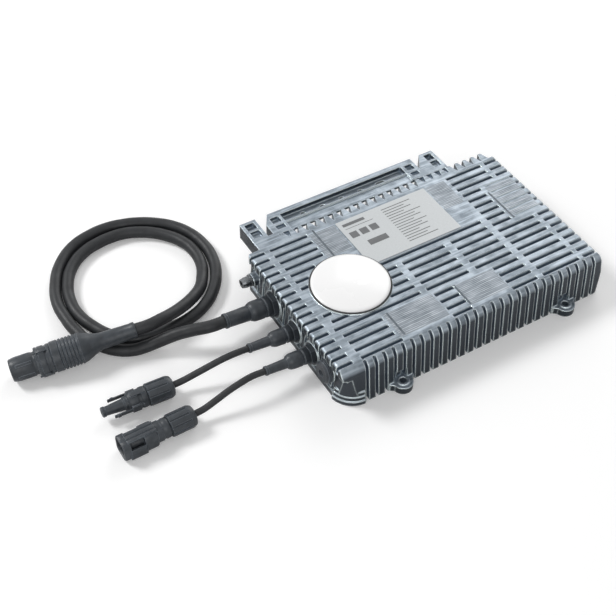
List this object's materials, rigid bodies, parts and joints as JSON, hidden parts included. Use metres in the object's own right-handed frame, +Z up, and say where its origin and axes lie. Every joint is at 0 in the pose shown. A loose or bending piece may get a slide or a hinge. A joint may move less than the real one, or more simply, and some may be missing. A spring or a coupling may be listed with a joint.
{
  "type": "solar microinverter",
  "caption": "Flat finned die-cast solar microinverter with a mounting flange, a looped output cable with a round connector and two panel leads.",
  "frame": {"origin": "under the middle of the housing with its flange, lugs and earth screw, on the surface that it lies on", "axes": "+X along the top fins, away from the cable side; +Y towards the mounting flange; +Z up from the bottom cover to the fins"},
  "size_m": [0.4782, 0.2987, 0.0454],
  "materials": {
    "casting": "blasted",
    "sheet": "satin",
    "rubber": "matte",
    "steel": "satin",
    "plate": "satin",
    "badge": "gloss",
    "nylon": "matte",
    "jacket": "matte",
    "brass": "satin",
    "tin": "satin",
    "board": "satin",
    "ferrite": "matte",
    "copper": "satin",
    "can": "satin",
    "film": "gloss",
    "relay": "gloss",
    "epoxy": "matte",
    "pad": "matte",
    "terminal": "matte",
    "fuse": "gloss"
  },
  "bodies": {
    "root": {"housing": "casting", "bottom_cover": "sheet", "transistor_clamp": "sheet", "cover_gasket": "rubber", "ac_gland_seal": "rubber", "dc_gland_seal_rear": "rubber", "dc_gland_seal_front": "rubber", "cover_screws": "steel", "earth_screw": "steel", "earth_washer": "steel", "board_screws": "steel", "clamp_screws": "steel", "rating_plate": "plate", "badge": "badge", "vent_plug": "nylon", "ac_gland_body": "nylon", "ac_gland_cap": "nylon", "ac_gland_locknut": "nylon", "dc_gland_body_rear": "nylon", "dc_gland_cap_rear": "nylon", "dc_gland_locknut_rear": "nylon", "dc_gland_body_front": "nylon", "dc_gland_cap_front": "nylon", "dc_gland_locknut_front": "nylon", "ac_plug_body": "nylon", "ac_plug_ring": "nylon", "ac_plug_insert": "nylon", "dc_plug_body": "nylon", "dc_plug_nut": "nylon", "dc_socket_body": "nylon", "dc_socket_nut": "nylon", "ac_cable": "jacket", "dc_cable_rear": "jacket", "dc_cable_front": "jacket", "ac_cable_gland_end": "jacket", "dc_cable_gland_end_rear": "jacket", "dc_cable_gland_end_front": "jacket", "ac_cable_plug_end": "jacket", "dc_cable_plug_end": "jacket", "dc_cable_socket_end": "jacket", "ac_plug_contacts": "brass", "dc_plug_contact": "tin", "dc_socket_contact": "tin", "circuit_board": "board", "transformer_cores": "ferrite", "choke_core": "ferrite", "transformer_windings": "copper", "choke_winding": "copper", "input_capacitors": "can", "film_capacitor": "film", "output_relay": "relay", "power_transistors": "epoxy", "controller_chip": "epoxy", "thermal_pad": "pad", "ac_terminals": "terminal", "dc_terminals": "terminal", "fuse": "fuse"}
  },
  "joints": []
}
